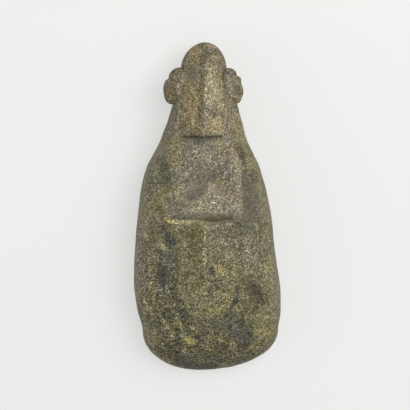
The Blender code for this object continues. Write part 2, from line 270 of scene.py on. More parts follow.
# Bands in which the parts of the stone change colour: (start, width). They are shares of
# THICKNESS for the front, of the half width for edge and ears, and of LENGTH for the rest
FRONT_BAND = (0.45, 0.3)
EDGE_BAND = (0.8, 0.12)
EAR_BAND = (1.0, 0.05)
EARS_END = 0.2
BULB_BAND = (0.06, 0.05)
HEAD_BAND = (0.24, 0.1)
NOSE_BAND = (NOSE_END, 0.01)
BELOW_NOSE_BAND = (NOSE_END, 0.03)
LOW_PANEL_BAND = (0.39, 0.04)
ABOVE_MOUTH_WIDTH = 0.02
TONGUE_END_BAND = (TONGUE_END, 0.03)
BIT_BAND = (0.84, 0.06)

# The same across the stone, in millimetres
PANEL_BLEND = 3.0
HOLLOW_TINT_WIDTH = 9.0
HOLLOW_TINT_DEPTH = 1.2
# Where the nose's lighter tint lies, right of its ridge: partly painted light
NOSE_TINT_X = 3.0
NOSE_TINT_WIDTH = 14.0

# Noises that bend and cloud the colours, and ragged edges: (size in millimetres, strength,
# seed). The hue drifts by a share of red, green and blue
DRIFT = ((14.0, 1.0, 50), (5.0, 0.5, 51))
DRIFT_ALONG = 0.012
DRIFT_ACROSS = 1.2
CLOUDS = ((7.0, 0.1, 60), (24.0, 0.06, 61))
HUE_CLOUDS = ((11.0, 0.7, 62), (4.5, 0.5, 63))
HUE_DRIFT = np.array((0.015, 0.0, -0.08))
RAGGED_EDGES = tuple(((4.0, 0.8, seed), (1.3, 0.8, seed + 1)) for seed in (30, 32, 34))

# The colours of the parts of the stone, as the eye sees them
LOWER = (93, 89, 63)
BIT = (87, 81, 53)
TONGUE = (103, 99, 73)
PANEL_TOP = (104, 99, 82)
PANEL_LOW = (109, 103, 87)
# The long hollows beside the panel: partly darker stone, partly painted shade in the hollows
HOLLOW_STONE_AND_SHADE = (90, 87, 70)
RIM = (107, 101, 79)
BULB = (103, 96, 78)
HEAD = (107, 101, 80)
# The nose: partly its own warmer tan, partly painted light on its right plane, which faces the light
NOSE_TAN_AND_LIGHT = (120, 112, 88)
EAR = (101, 93, 74)

# The colours of its stains and streaks, which also paint light and shade at the carving
BLACK_GREEN = (58, 60, 44)
DARK_GREY = (75, 73, 59)
DARK_BROWN = (73, 67, 47)
OLIVE = (86, 80, 48)
SHADE = (88, 84, 67)
GREY = (105, 100, 81)
MAUVE = (108, 99, 81)
PALE = (122, 115, 90)
CREAM = (146, 136, 102)
YELLOW = (122, 114, 72)
MUSTARD = (146, 134, 78)
OCHRE = (122, 103, 62)
TAN = (144, 127, 92)
ROSE = (140, 128, 104)
PLUM = (90, 83, 72)
KHAKI = (119, 108, 74)
ASH = (130, 123, 103)
DARK_OLIVE = (70, 67, 45)
# Yellowish cream: pale stains, and the painted highlight on the mouth's lip
LIP_HIGHLIGHT_AND_PALE_STAIN = (148, 141, 104)
GREEN_GREY = (116, 112, 88)
BROWN = (104, 93, 69)
BLACK_BROWN = (50, 45, 30)
# Umber, for the band along the bit's edge: partly dark stone, partly painted shade
UMBER_AND_EDGE_SHADE = (78, 69, 40)
SLATE = (72, 71, 64)

# Broad stains on the sides and back, which the photograph doesn't show: colour and noises
SIDE_STAINS = (
    (DARK_GREY, ((15.0, 1.0, 70), (3.0, 0.4, 80))),
    (KHAKI, ((10.0, 1.0, 71), (3.0, 0.4, 81))),
    (OLIVE, ((21.0, 1.0, 72), (3.0, 0.4, 82))),
    (MAUVE, ((13.0, 1.0, 73), (3.0, 0.4, 83))),
)
SIDE_STAIN_SHARE = 0.55
SIDE_STAIN_SHARPNESS = 2.5

# Stains and streaks on the front, with painted light and shade at its carving: colour, strength, half width,
# and points
STROKES = (
    (TAN, 0.3, 3.2, (-10, 116), (-7, 112)),
    (DARK_BROWN, 0.55, 2.4, (-3, 113), (-3, 107)),
    (SHADE, 0.6, 2.0, (4, 116), (5, 113)),
    (TAN, 0.5, 2.0, (0, 119), (5, 118)),
    (KHAKI, 0.45, 3.0, (-10, 109), (-7, 105)),
    (OCHRE, 0.4, 1.4, (-9, 113), (-4, 116)),
    (OLIVE, 0.45, 2.6, (5, 111), (5, 107)),
    # The nose's right plane made lighter: partly its own pale tan, partly painted light where it faces the
    # light
    (PALE, 0.65, 4.6, (3.5, 108), (4, 98), (5, 88)),
    (ROSE, 0.4, 5.0, (3, 93), (4.5, 84)),
    (ASH, 0.6, 3.0, (2, 103), (2.5, 98)),
    (CREAM, 0.25, 3.0, (3, 103), (4, 94)),
    (SHADE, 0.5, 1.6, (11, 99), (12.5, 88)),
    (YELLOW, 0.3, 2.5, (9, 99), (9, 95)),
    (KHAKI, 0.35, 3.0, (11, 88), (12, 76)),
    (ASH, 0.75, 2.8, (13.5, 96), (15.5, 83)),
    (OLIVE, 0.4, 3.4, (-9, 94), (-7.5, 88)),
    (KHAKI, 0.7, 5.0, (-12, 90), (-11, 73)),
    (OCHRE, 0.35, 2.4, (-13, 82), (-10, 78)),
    (DARK_OLIVE, 0.2, 1.8, (-8, 112), (-6, 106), (-4, 101)),
    (ROSE, 0.2, 3.6, (-11, 112), (-9, 105)),
    # Painted shade on the nose's steep left side, beside its ridge, on olive stone
    (OLIVE, 0.72, 2.0, (-3.5, 99), (-4.2, 88), (-5, 72)),
    (DARK_OLIVE, 0.2, 1.6, (-3.6, 100), (-4, 82)),
    (BLACK_GREEN, 0.6, 1.6, (-2.2, 81), (-2, 79.5)),
    (SHADE, 0.7, 2.0, (3.5, 76), (6, 75)),
    # The right part of the nose tip made lighter: partly its own reddish tan, partly painted light
    (TAN, 0.9, 4.0, (2, 70), (7, 65)),
    (CREAM, 0.6, 3.0, (2, 68), (8, 64)),
    # Painted shade at the nose's ledge: a soft shadow below it, and the shaded lower end of the nose above it
    (DARK_GREY, 0.5, 1.6, (-9, 57.6), (2, 57.6)),
    (DARK_BROWN, 0.6, 1.8, (-10, 62), (0, 62.2)),
    (PALE, 0.5, 3.0, (0, 76), (1, 71)),
    (MAUVE, 0.6, 2.6, (-2, 69.5), (-0.5, 66)),
    (OCHRE, 0.35, 4.0, (-11, 69), (-5.5, 64.5)),
    (BROWN, 0.4, 3.0, (-13, 66), (-7, 63.5)),
    # Partly brown stone, partly painted shade in the hollow outside the nose's left wing
    (BROWN, 0.6, 2.6, (-15.5, 69), (-17, 64.5)),
    (SHADE, 0.35, 5.0, (-25, 72), (-26, 60)),
    (KHAKI, 0.6, 2.2, (-17.5, 74), (-14, 74)),
    # Painted shade in the left eye hollow
    (SHADE, 0.8, 3.2, (-10, 103), (-11, 99)),
    (MAUVE, 0.4, 3.5, (13, 74), (19, 62)),
    (TAN, 0.3, 3.6, (19, 72), (26, 54)),
    (BROWN, 0.4, 2.0, (22, 66), (26, 54)),
    (MAUVE, 0.5, 2.0, (19, 84), (22, 78)),
    (KHAKI, 0.5, 1.8, (16, 83), (19, 80)),
    (DARK_GREY, 0.7, 1.8, (20.5, 77), (21, 74)),
    (KHAKI, 0.4, 2.6, (-21, 64), (-20.5, 54)),
    (GREY, 0.6, 4.0, (-33, 53), (-31, 46)),
    (DARK_BROWN, 0.55, 2.6, (-25, 103), (-18.5, 100)),
    # A crease across the left ear, painted as a light line over a line of painted shade
    (MAUVE, 0.6, 1.0, (-28, 97), (-24, 99), (-19, 99)),
    (DARK_BROWN, 0.45, 1.2, (-28, 95.8), (-23, 97.6)),
    (MAUVE, 0.35, 4.0, (-27, 94), (-23, 90)),
    (OCHRE, 0.5, 2.4, (-26.5, 88), (-23.5, 85)),
    (DARK_BROWN, 0.3, 4.0, (-27, 91), (-24, 86)),
    (PALE, 0.6, 1.8, (-16.8, 99.5), (-16, 94)),
    (DARK_BROWN, 0.35, 1.8, (13.5, 103.5), (17, 101)),
    (ASH, 0.5, 2.0, (16, 96), (18, 93)),
    (KHAKI, 0.6, 2.2, (19, 85), (21.5, 82)),
    (DARK_GREY, 0.5, 1.8, (20, 91), (22, 87.5)),
    # Painted shadow under the nose's ledge, and painted dark lines of shade in the ledge's corner
    (SHADE, 0.55, 2.4, (-15, 57), (7, 57)),
    (DARK_BROWN, 0.9, 1.4, (-16.5, 59.3), (-4.5, 60.2), (8.5, 59.3)),
    (BLACK_GREEN, 0.7, 0.9, (-11, 59.6), (3, 59.8)),
    (YELLOW, 0.5, 2.0, (6, 56), (9.5, 54.5)),
    (KHAKI, 0.4, 2.6, (21, 58), (24.5, 54)),
    (KHAKI, 0.45, 5.0, (-22, 53), (-22, 43)),
    (CREAM, 0.25, 2.6, (-8, 48), (0, 44)),
    (ROSE, 0.25, 4.0, (14, 50), (18, 43)),
    (MAUVE, 0.6, 5.0, (13, 52), (19, 42)),
    (CREAM, 0.6, 1.3, (14.5, 50.5), (17, 48.5)),
    (DARK_BROWN, 0.8, 2.4, (21.5, 49), (25, 44)),
    (YELLOW, 0.45, 2.0, (28.5, 38), (30, 33)),
    (DARK_GREY, 0.7, 2.2, (30.5, 32), (32.5, 27)),
    (PLUM, 0.75, 4.6, (27, 26), (29.5, 14), (30, -1)),
    (DARK_GREY, 0.4, 2.6, (27, 22), (30, 8)),
    (DARK_GREY, 0.6, 3.6, (-31, 42), (-29, 30), (-27, 24)),
    (DARK_BROWN, 0.5, 2.2, (-30, 37), (-28.5, 29)),
    (DARK_GREY, 0.6, 2.4, (-24, 32), (-22.5, 27)),
    (KHAKI, 0.6, 2.2, (-32, 21), (-27, 24)),
    (YELLOW, 0.35, 2.6, (-29, 19), (-28.5, 3)),
    (SHADE, 0.45, 4.0, (-22, 22), (-21, 10)),
    (GREEN_GREY, 0.4, 5.0, (-20, 26), (-18, 12)),
    (YELLOW, 0.4, 2.4, (-21.5, 25), (-19, 18)),
    (SHADE, 0.6, 2.6, (-24, 17), (-20, 10)),
    (LIP_HIGHLIGHT_AND_PALE_STAIN, 0.3, 3.6, (-11, 12), (-2, 14.5)),
    (DARK_BROWN, 0.6, 2.0, (-34, 14), (-33.5, 6)),
    (YELLOW, 0.5, 2.0, (-35, 18), (-33, 12)),
    (KHAKI, 0.35, 4.0, (-37, 12), (-36.5, 2)),
    (SHADE, 0.6, 3.0, (2, 32), (7, 37)),
    (PLUM, 0.45, 2.4, (2, 30), (8, 35), (13, 40)),
    (PLUM, 0.55, 2.8, (5, 34), (11, 28), (16, 23)),
    (PLUM, 0.85, 3.2, (-13, 18.5), (-5.4, 22.6), (2, 28.6)),
    (DARK_GREY, 0.45, 2.2, (-12, 18.5), (-4, 22)),
    (PLUM, 0.5, 2.4, (-10, 32), (4, 34), (18, 33)),
    (PLUM, 0.65, 3.2, (0, 33), (5.5, 28)),
    (YELLOW, 0.65, 2.6, (7.5, 29), (12, 26.5)),
    (MAUVE, 0.6, 4.0, (11, 28), (14, 17)),
    (BROWN, 0.35, 4.0, (9, 22), (15, 17)),
    # Painted highlight on the wall of the panel's right edge, which faces the light
    (ASH, 0.55, 2.2, (20.5, 43), (21.5, 8)),
    (ASH, 0.7, 3.0, (2.5, 26), (4, 17)),
    (ASH, 0.7, 4.4, (-7, 12), (16, 12)),
    (ASH, 0.5, 2.4, (-6, 14), (2.5, 24), (12, 16)),
    (PALE, 0.5, 3.0, (-13, 11), (-3, 13)),
    # Painted shade on the mouth groove's upper slope, which turns from the light, and a painted dark line of
    # shade along the groove
    (SHADE, 0.95, 2.2, (-21, 5), (15, 5)),
    (DARK_BROWN, 0.6, 0.9, (-24, 3.6), (-14, 3), (-2, 2.9)),
    # Painted highlight on the mouth's lip, the groove's lower wall, which faces the light
    (LIP_HIGHLIGHT_AND_PALE_STAIN, 0.9, 1.5, (-28.5, 1.5), (-15, 1.3), (-3, 1.3)),
    (LIP_HIGHLIGHT_AND_PALE_STAIN, 0.8, 1.3, (-14, 1.3), (-3, 1.1)),
    # Painted shadow in the deeper right half of the groove, and painted light on the wall below it
    (DARK_OLIVE, 0.25, 1.8, (-3, 1.9), (8, 2.4), (14, 3.4), (20, 4.8)),
    (ASH, 0.7, 1.8, (0, -1.2), (8, -1), (14, -0.2)),
    # The lip's left end: partly yellowish stone, partly painted highlight
    (MUSTARD, 0.6, 1.8, (-28.5, 2.6), (-26, 0.6)),
    (SHADE, 0.3, 4.0, (-37, 34), (-37, 15)),
    (GREY, 0.6, 3.0, (-46, 8), (-46.5, -50)),
    (BROWN, 0.5, 4.5, (-39, -14), (-40, -50)),
    (DARK_BROWN, 0.4, 2.0, (-37.5, -7), (-37, -14)),
    (KHAKI, 0.5, 3.0, (-28, -1), (-24, -4)),
    (DARK_BROWN, 0.6, 2.6, (-31, -4), (-29, -8)),
    (BLACK_GREEN, 0.8, 3.6, (-25.8, -10), (-24, -15.5)),
    (PLUM, 0.6, 3.6, (-26, -20), (-24.5, -28)),
    (SHADE, 0.5, 4.5, (-25, -25), (-24, -40)),
    (DARK_GREY, 0.5, 3.6, (-26, -18), (-23.5, -32)),
    (KHAKI, 0.3, 4.0, (-38, -28), (-38, -60)),
    (DARK_GREY, 0.45, 1.6, (-45, -24), (-44, -34)),
    (SHADE, 0.5, 1.8, (-41.5, -40), (-41, -50)),
    (YELLOW, 0.5, 1.4, (-38.5, -44), (-37.5, -52)),
    (DARK_BROWN, 0.45, 1.6, (-36.5, -30), (-36, -40)),
    (OLIVE, 0.4, 7.0, (-34, -56), (-26, -74)),
    (DARK_OLIVE, 0.55, 4.0, (-25, -40), (-23, -52), (-17, -64), (-12, -74)),
    (BLACK_GREEN, 0.6, 1.8, (-32, -22), (-33, -30)),
    (BLACK_GREEN, 0.8, 3.5, (-32.5, -33), (-30.5, -44), (-27, -49)),
    (BLACK_BROWN, 0.3, 3.2, (-32, -34), (-30, -45)),
    (LIP_HIGHLIGHT_AND_PALE_STAIN, 0.6, 1.3, (-34.5, -11.5), (-32, -16), (-29.5, -19)),
    (YELLOW, 0.55, 1.5, (-34, -10), (-31.5, -16), (-27, -20.5)),
    (CREAM, 0.5, 1.4, (-42.8, -9.5), (-42.5, -13)),
    (DARK_BROWN, 0.5, 2.2, (-36, -8), (-36.5, -12.5)),
    (YELLOW, 0.4, 2.0, (-36, -24), (-34.5, -27)),
    (CREAM, 0.7, 1.5, (-28.5, -47.5), (-27, -49.5)),
    (CREAM, 0.7, 1.6, (-43.5, -59), (-42, -64.5)),
    # The tongue's left plane darker: partly its own olive, partly painted shade where it turns from the light
    (OLIVE, 0.7, 4.6, (-8, -3), (-8, -24)),
    (OLIVE, 0.55, 4.6, (-8, -24), (-7.5, -44)),
    (BROWN, 0.4, 2.6, (-13, -32), (-10, -43)),
    (OLIVE, 0.25, 3.5, (-15.5, -6), (-15.5, -44)),
    (TAN, 0.5, 1.3, (-16.3, -14.5), (-16, -17)),
    (OCHRE, 0.5, 1.3, (-11.5, -21.5), (-9, -22.5)),
    (OCHRE, 0.4, 1.2, (-4.5, -3.5), (-4.3, -8)),
    (MAUVE, 0.6, 7.0, (6, -6), (18, -7)),
    (SHADE, 0.2, 8.0, (5, -8), (16, -9)),
    (ASH, 0.25, 7.0, (8, -14), (16, -22)),
    (YELLOW, 0.2, 5.0, (5, -19), (13, -24)),
    (OLIVE, 0.12, 7.0, (5, -20), (15, -28)),
    (DARK_GREY, 0.5, 2.2, (6.5, -21.5), (9.5, -23.5)),
    (CREAM, 0.7, 0.9, (-1.8, -1), (-1.8, -29)),
    (YELLOW, 0.45, 1.1, (-28, -3), (-22, -8.6), (-20, -13.3), (-19, -22)),
    (YELLOW, 0.4, 1.1, (-19, -22), (-18.7, -37), (-17, -47.7), (-14.6, -59)),
    (BLACK_GREEN, 0.9, 1.6, (2.7, -32.2), (3.4, -34.8)),
    (MUSTARD, 0.7, 2.6, (7.5, -31), (9.5, -33.5)),
    (TAN, 0.6, 1.9, (9, -34), (11.5, -36)),
    (BLACK_GREEN, 0.7, 1.5, (-4.2, -36), (-4, -38.5)),
    (BLACK_GREEN, 0.8, 1.6, (0, -47.5), (2.5, -50)),
    (DARK_GREY, 0.8, 1.4, (6.3, -44), (6.7, -47)),
    (DARK_GREY, 0.7, 1.3, (3, -52), (3.6, -53.5)),
    (MUSTARD, 0.3, 2.0, (-3.5, -46), (-2, -48.5)),
    (CREAM, 0.5, 0.9, (8, -49), (10.5, -50), (12, -53), (9.5, -55.5)),
    # The tongue's lower right rim: partly yellowish stone, partly painted light where the rim faces the light
    (YELLOW, 0.55, 3.2, (15, -56), (11.5, -61.5), (4, -64), (-4, -60)),
    # A painted highlight along the tongue's right edge, which faces the light
    (YELLOW, 0.6, 1.1, (17.5, -17), (18, -31), (17.2, -45.8), (15.6, -57)),
    # Painted shadow beyond the tongue's lower right rim
    (DARK_GREY, 0.8, 2.0, (21, -46), (19.5, -55), (16, -62), (12.5, -68)),
    (BLACK_GREEN, 0.8, 1.8, (20, -55), (19, -58)),
    (GREEN_GREY, 0.5, 6.0, (29, -14), (32, -34)),
    (ASH, 0.2, 5.0, (22, -14), (25, -28)),
    (SLATE, 0.15, 5.0, (22, -14), (25, -28)),
    (GREEN_GREY, 0.5, 4.0, (40, -14), (41, -36)),
    (YELLOW, 0.25, 4.0, (41, -30), (43, -50)),
    (MAUVE, 0.5, 3.0, (24.5, -31), (26, -37)),
    (DARK_OLIVE, 0.55, 4.6, (27, -44), (34, -53)),
    (BROWN, 0.5, 1.8, (27.5, -42.5), (30, -45)),
    (YELLOW, 0.45, 2.2, (24.5, -47), (27.5, -55)),
    (DARK_OLIVE, 0.8, 2.8, (29, -47), (36, -56)),
    (BLACK_BROWN, 0.3, 2.6, (34, -46), (37, -53)),
    (DARK_GREY, 0.8, 3.0, (39, -60), (41.5, -64)),
    (BLACK_GREEN, 0.65, 1.8, (20.5, 0.2), (23, -2.4)),
    (YELLOW, 0.5, 1.6, (38, -6), (41, -7)),
    (DARK_GREY, 0.5, 1.8, (36.5, -25.5), (38, -28.5)),
    (YELLOW, 0.4, 2.0, (42.5, -27), (43, -36)),
    (CREAM, 0.4, 1.5, (32.5, -2), (34, -5)),
    (DARK_GREY, 0.75, 7.2, (17, -72), (24, -79), (26, -87)),
    (SLATE, 0.35, 6.0, (10, -79), (26, -84)),
    (DARK_GREY, 0.6, 3.4, (-6, -72), (-1, -84)),
    (DARK_GREY, 0.7, 2.8, (3, -74), (6, -75)),
    (PALE, 0.4, 6.0, (42, -64), (40, -76), (41, -84)),
    (YELLOW, 0.25, 6.0, (42, -64), (40, -76), (41, -84)),
    (KHAKI, 0.4, 3.5, (36, -80), (41, -85)),
    (MUSTARD, 0.4, 2.8, (35.5, -81), (38, -83.5)),
    (BLACK_GREEN, 0.8, 3.2, (-28.5, -66), (-25.5, -69)),
    (BLACK_GREEN, 0.8, 2.4, (-18, -65), (-15.5, -68)),
    (DARK_BROWN, 0.8, 2.2, (-18.5, -71), (-17, -73.5)),
    (BLACK_GREEN, 0.8, 2.0, (-22, -78.5), (-20.5, -81)),
    (DARK_BROWN, 0.8, 2.2, (-14.5, -77.5), (-13, -80)),
    (DARK_GREY, 0.7, 2.4, (-33.5, -83), (-31, -84.5)),
    (SHADE, 0.5, 4.0, (-40, -72), (-38.5, -78)),
    (YELLOW, 0.6, 1.0, (-24, -64), (-21, -70), (-18.5, -76)),
    (YELLOW, 0.5, 1.0, (-14.6, -59), (-10, -64), (-4, -67.5)),
    # Painted shade along the tongue's lower left rim
    (DARK_GREY, 0.5, 1.2, (-12, -57), (-8, -61), (-3, -64)),
    (YELLOW, 0.8, 1.8, (-31, -72.5), (-29, -77)),
    (YELLOW, 0.8, 1.6, (-20, -73.5), (-18, -78)),
    (LIP_HIGHLIGHT_AND_PALE_STAIN, 0.65, 1.4, (-11.5, -76.5), (-9.7, -78.5)),
    (CREAM, 0.7, 1.1, (-38, -82.5), (-37, -85)),
    (CREAM, 0.5, 1.2, (-26, -80), (-24.3, -85.5)),
    (CREAM, 0.6, 1.5, (-40, -67), (-38.5, -69.5)),
    # A darker band along the bit's edge: partly dark stone, partly painted shade where the bevel turns down
    (DARK_BROWN, 0.6, 4.6, (-28, -97), (-14, -104)),
    (UMBER_AND_EDGE_SHADE, 0.55, 4.0, (-22, -105), (0, -110), (24, -105)),
    (UMBER_AND_EDGE_SHADE, 0.4, 4.0, (-34, -96), (-22, -107)),
    (BLACK_GREEN, 0.35, 3.6, (-5, -103), (8, -106)),
    (BLACK_BROWN, 0.75, 5.4, (-20, -110), (-8, -113), (4, -113.5)),
    (DARK_BROWN, 0.7, 2.0, (-6.5, -85), (-3.5, -88)),
    (DARK_BROWN, 0.6, 1.8, (-14, -92), (-6, -93)),
    (BLACK_BROWN, 0.45, 2.6, (-29, -91), (-26, -97)),
    (YELLOW, 0.5, 2.4, (3, -84), (9, -88)),
    (YELLOW, 0.2, 2.2, (0, -96), (8, -99)),
    (DARK_BROWN, 0.15, 5.0, (-16, -98), (14, -98)),
    (DARK_GREY, 0.5, 2.6, (-38, -81), (-35, -87)),
    (DARK_BROWN, 0.25, 3.6, (4, -101), (26, -99)),
    (BLACK_GREEN, 0.6, 3.4, (6.5, -91), (11.5, -93)),
    (YELLOW, 0.25, 4.0, (11, -96), (21, -96)),
    (DARK_BROWN, 0.7, 2.4, (-29, -96), (-26, -98)),
    (DARK_BROWN, 0.6, 2.2, (-21.8, -90), (-19, -93)),
    (YELLOW, 0.45, 1.8, (-17, -96), (-14, -97.5)),
    (YELLOW, 0.4, 1.8, (-1.5, -94), (2, -95.5)),
    (DARK_BROWN, 0.7, 2.2, (11, -96), (15, -97.5)),
    (DARK_BROWN, 0.6, 2.0, (21, -95), (25, -93.5)),
    (YELLOW, 0.4, 1.8, (17, -90), (20, -92)),
    (DARK_BROWN, 0.7, 2.0, (-9, -101.5), (-5, -103)),
    (YELLOW, 0.5, 4.0, (33, -95), (44, -84)),
    (YELLOW, 0.25, 3.0, (-42, -80), (-33, -94)),
    (MUSTARD, 1.0, 2.6, (-13, -86.8), (-11, -89)),
    (OCHRE, 0.6, 1.5, (-2.3, -73), (-1.6, -76)),
)

# Where the grain is livelier or calmer than elsewhere: change, half width, and points
LIVELY = (
    (0.3, 16.0, (-34, -40), (-26, -70), (-14, -88)),
    (0.4, 14.0, (-20, -100), (24, -100)),
    (0.4, 7.0, (-36, -97), (-24, -103), (0, -110), (24, -104), (36, -97)),
    (0.15, 12.0, (6, -45), (6, -60)),
    (0.15, 6.0, (-43, -30), (-44, -60)),
    (-0.45, 7.0, (28, 26), (31, -4)),
    (-0.5, 4.0, (-10, 103), (-12, 98)),
    (-0.35, 5.0, (-11.6, 19.5), (2, 30.6)),
    (-0.35, 6.0, (-33, 53), (-31, 46)),
    (-0.35, 4.0, (-17, 5), (13, 5)),
    (-0.5, 2.0, (-2, 1.4), (8, 1.8), (20, 4.4)),
    (-0.2, 6.0, (-15, 57), (7, 57)),
    (-0.9, 2.6, (-12.8, -87.2), (-9, -89.2)),
)

# How much calmer the grain is at the edge and on the panel, and how lively it is on the
# sides and back, where the front's share and the place are below the last two
EDGE_CALM = 0.15
PANEL_CALM = 0.1
SIDE_LIVELINESS = 0.8
LIVELY_FRONT = 0.3
LIVELY_BIT = 0.8

# Strokes reach this many half widths, with edges this sharp. They stay above this share
# of THICKNESS, except past this place, at the bit
STROKE_REACH = 1.15
STROKE_SHARPNESS = 2.2
STROKES_ABOVE = 0.3
BEVEL_PLACE = 0.93

# Grain: its sizes in millimetres, and how much each grain's own shade, the fine noise
# and the clusters of grains count
GRAIN_SIZE = 0.68
GRAIN_BEND = 0.3
BENDS_PER_MM = 1.1
FINE_SIZE = 0.7
FINE_ROUGHNESS = 0.6
CLUSTER_SIZE = 3.5
CELL_SHARE = 0.8
FINE_SHARE = 0.65
CLUSTER_SHARE = 0.37

# How much lighter or darker than its surroundings a grain is: (noise, light)
GRAIN_STEPS = ((0.0, 0.12), (0.25, 0.38), (0.50, 0.82), (0.70, 1.35), (0.88, 2.3), (1.0, 3.8))
MOST_GRAIN = 5.0
GRAIN_COLOUR = 0.48
SPECK_SPACING = 2.1
SPECK_RADIUS = 0.55
SPECK_SHARE = 0.5
LIGHT_SPECK = 0.9
DARK_SPECK = 0.35
DARK_SPECK_SCALE = 1.3
SPECK_EDGE = 0.25
DARKEST = 0.008

# Clusters of grains are a little cooler or warmer: slope and start, and the two colours
WARMTH_SLOPE = 4.0
WARMTH_START = -1.5
COOL = (0.987, 1.0, 1.065, 1.0)
WARM = (1.013, 1.0, 0.95, 1.0)

# The stone's gloss, and the bump of its grain in millimetres
SMOOTHEST = 0.58
ROUGHNESS_SPREAD = 0.25
SPECULAR = 0.35
BUMP_STRENGTH = 0.35
BUMP_HEIGHT = 0.25
CELL_BUMP = 0.5

# The floor, which shines by itself as the pale walls round it would make it
FLOOR_HALF = 3.0
FLOOR_COLOUR = (0.24, 0.24, 0.235, 1.0)
FLOOR_GLOW_COLOUR = (1.0, 1.0, 0.985, 1.0)
FLOOR_GLOW = 0.55
FLOOR_ROUGHNESS = 0.9

# The lamps: name, place and size in metres, and watts
LAMPS = (("key", (0.62, 0.62, 1.15), 1.0, 19.0), ("left wall", (-1.0, -0.1, 0.35), 0.8, 3.2))
ROOM_LIGHT = 0.54

# The camera: its lean towards the head, and how much of the stone a pixel shows
LEAN = 14.0
DISTANCE = 1250.0
PIXEL = 0.697
PIXELS = 410
AIM = (0.0, 5.7, 20.0)
AIM_PIXEL = (207.5, 205.3)
SENSOR = 36.0


def curve(stations, size=1.0):
    """A smooth function through the stations, which never overshoots them."""
    places, values = np.array(stations, dtype=float).T
    values = values * size
    steps = np.diff(places)
    slopes = np.diff(values) / steps
    tangents = np.zeros(len(places))
    tangents[0], tangents[-1] = slopes[0], slopes[-1]
    for i in range(1, len(places) - 1):
        if slopes[i - 1] * slopes[i] > 0:
            before = 2 * steps[i] + steps[i - 1]
            after = steps[i] + 2 * steps[i - 1]
            tangents[i] = (before + after) / (before / slopes[i - 1] + after / slopes[i])

    def value(place):
        place = np.clip(place, places[0], places[-1])
        i = np.clip(np.searchsorted(places, place, side="right") - 1, 0, len(steps) - 1)
        t = (place - places[i]) / steps[i]
        start = values[i] * (1 + 2 * t) * (1 - t) ** 2
        start += tangents[i] * steps[i] * t * (1 - t) ** 2
        end = values[i + 1] * t**2 * (3 - 2 * t)
        end += tangents[i + 1] * steps[i] * t**2 * (t - 1)
        return start + end

    return value


def smooth_step(amount):
    """0 at and below 0, 1 at and above 1, and smooth between."""
    amount = np.clip(amount, 0.0, 1.0)
    return amount * amount * (3 - 2 * amount)


def rise(amount, band):
    """0 before the band (start, width), 1 after it, and smooth across it."""
    start, width = band
    return smooth_step((amount - start) / width)


def step_at_zero(distance, width):
    """0 to 1 across this width, with the middle of the step at distance 0."""
    return smooth_step(distance / width + 0.5)


def bell(distance, width):
    """1 at distance 0, falling to 0 at width on either side."""
    inside = np.clip(1 - (distance / width) ** 2, 0.0, 1.0)
    return inside * inside


full_half_width = curve(HALF_WIDTHS, WIDTH)
front_height = curve(FRONT_HEIGHTS, THICKNESS)
side_height = curve(SIDE_HEIGHTS, THICKNESS)
back_height = curve(BACK_HEIGHTS, THICKNESS)
middle_line = curve(MIDDLE_LINE, SWAY)
front_squareness = curve(FRONT_SQUARENESS)
back_squareness = curve(BACK_SQUARENESS)
nose_ridge = curve(NOSE_RIDGE, NOSE_SKEW)
nose_left = curve(NOSE_LEFT, NOSE_LEFT_WIDTH)
nose_right = curve(NOSE_RIGHT, NOSE_RIGHT_WIDTH)
panel_left = curve(PANEL_LEFT, PANEL_LEFT_WIDTH)
panel_right = curve(PANEL_RIGHT, PANEL_RIGHT_WIDTH)
panel_rise = curve(PANEL_RISE, PANEL_HEIGHT)
hollow_left = curve(HOLLOW_LEFT, HOLLOW_OUT)
hollow_right = curve(HOLLOW_RIGHT, HOLLOW_OUT)
hollow_left_depth = curve(HOLLOW_LEFT_DEPTH, HOLLOW_DEPTH)
hollow_right_depth = curve(HOLLOW_RIGHT_DEPTH, HOLLOW_DEPTH)


def end_rounding(place):
    """How much of its full section the stone has here: 0 at both ends, 1 between."""
    from_head = np.clip(place * LENGTH / HEAD_ROUNDING, 0.0, 1.0)
    from_bit = np.clip((1 - place) * LENGTH / BIT_ROUNDING, 0.0, 1.0)
    return np.sqrt(from_head * (2 - from_head) * from_bit * (2 - from_bit))


def thickness_rounding(place):
    """The same for the thickness, whose rounding at the bit is tighter."""
    from_head = np.clip(place * LENGTH / HEAD_ROUNDING, 0.0, 1.0)
    from_bit = np.clip((1 - place) * LENGTH / BIT_ROUNDING, 0.0, 1.0)
    bit = (1 - (1 - from_bit) ** BIT_CURVE) ** BIT_FULLNESS
    return np.sqrt(from_head * (2 - from_head)) * bit


def half_width(place):
    return full_half_width(place) * end_rounding(place)


def box_middle():
    """Where the middle of the stone's box lies, from the middle line."""
    places = np.linspace(0.0, 1.0, OUTLINE_STEPS)
    left = (middle_line(places) - half_width(places)).min()
    right = (middle_line(places) + half_width(places)).max()
    return (left + right) / 2


BOX_MIDDLE = box_middle()


def middle_x(place):
    return middle_line(place) - BOX_MIDDLE


